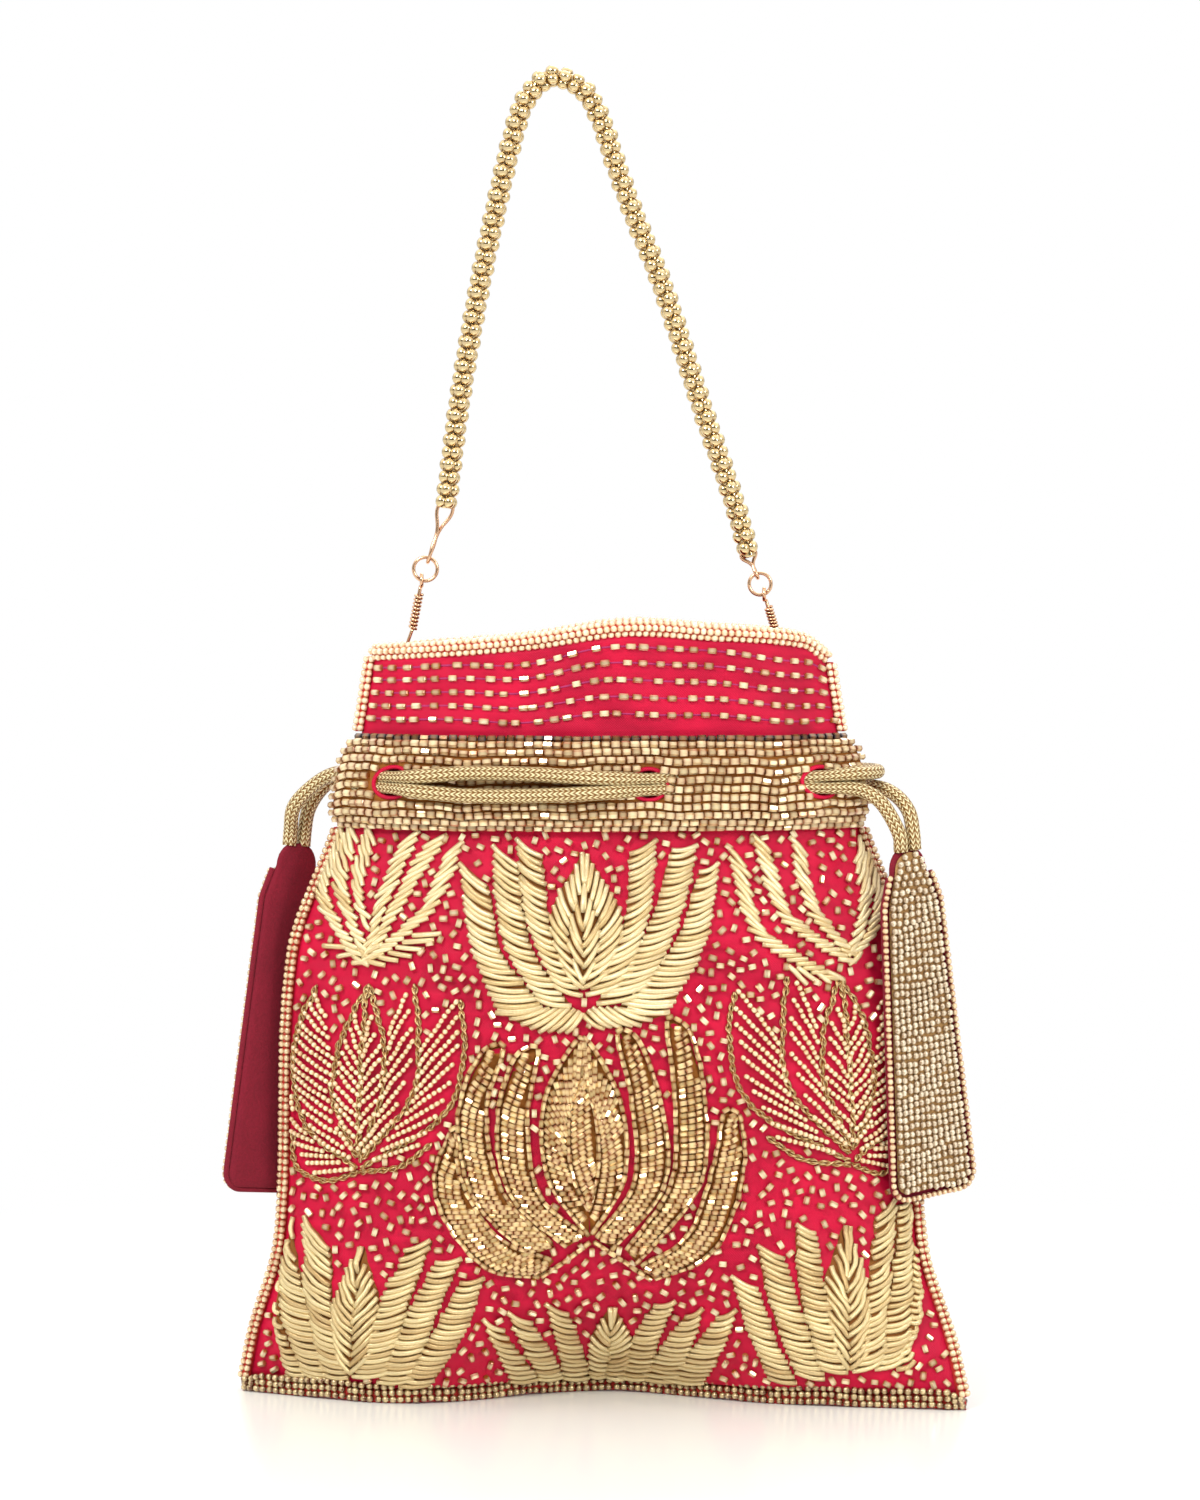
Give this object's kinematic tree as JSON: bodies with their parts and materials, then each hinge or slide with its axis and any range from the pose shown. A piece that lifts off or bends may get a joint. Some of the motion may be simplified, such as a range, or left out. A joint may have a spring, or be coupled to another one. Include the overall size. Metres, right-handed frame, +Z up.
{
  "type": "potli bag",
  "caption": "Drawstring pouch of two embroidered panels with a beaded cord casing, braided drawstrings ending in beaded tabs, and a swinging popcorn-chain handle.",
  "frame": {"origin": "middle of the pouch's footprint, on the surface that the bottom seam stands on", "axes": "+Z up, +X to the bag's right as its embroidered front is seen, -Y out of the front"},
  "size_m": [0.2076, 0.0582, 0.3662],
  "materials": {
    "red_silk": "satin",
    "lining_cloth": "satin",
    "gold_beads": "gloss",
    "gold_bead_motifs": "gloss",
    "gold_bullion": "satin",
    "gold_braid": "satin",
    "red_felt": "matte",
    "gold_chain": "polished",
    "gold_wire": "polished"
  },
  "bodies": {
    "bag": {"front_panel": "red_silk", "back_panel": "red_silk", "lining": "lining_cloth", "front_casing": "gold_beads", "back_casing": "gold_beads", "bottom_edging": "gold_beads", "left_side_edging": "gold_beads", "right_side_edging": "gold_beads", "left_frill_edging": "gold_beads", "right_frill_edging": "gold_beads", "front_rim_edging": "gold_beads", "back_rim_edging": "gold_beads", "lotus_top_left": "gold_bullion", "lotus_top_middle": "gold_bullion", "lotus_top_right": "gold_bullion", "lotus_middle_left": "gold_bead_motifs", "lotus_middle": "gold_bead_motifs", "lotus_middle_right": "gold_bead_motifs", "lotus_low_left": "gold_bullion", "lotus_low_middle": "gold_bullion", "lotus_low_right": "gold_bullion", "lower_drawstring": "gold_braid", "upper_drawstring": "gold_braid", "right_front_strand": "gold_braid", "right_back_strand": "gold_braid", "left_front_strand": "gold_braid", "left_back_strand": "gold_braid", "left_hook": "gold_wire", "right_hook": "gold_wire"},
    "handle": {"handle_chain": "gold_chain", "left_ring": "gold_wire", "right_ring": "gold_wire", "left_link": "gold_wire", "right_link": "gold_wire"},
    "right_tab": {"right_tab_face": "gold_beads", "right_tab_felt": "red_felt", "right_tab_edging": "gold_beads"},
    "left_tab": {"left_tab_face": "gold_beads", "left_tab_felt": "red_felt", "left_tab_edging": "gold_beads"}
  },
  "joints": [
    {"name": "handle_swing", "type": "hinge", "parent": "bag", "child": "handle", "pos_m": [-0.0489, 0, 0.2252], "axis": [0.9992, 0, -0.0404], "range_deg": [-110, 110]},
    {"name": "right_tab_swing", "type": "hinge", "parent": "bag", "child": "right_tab", "pos_m": [0.0845, -0.009, 0.146], "axis": [0.5736, -0.8191, 0], "range_deg": [-30, 60]},
    {"name": "left_tab_swing", "type": "hinge", "parent": "bag", "child": "left_tab", "pos_m": [-0.0845, 0.009, 0.146], "axis": [-0.5736, 0.8191, 0], "range_deg": [-30, 60]}
  ]
}
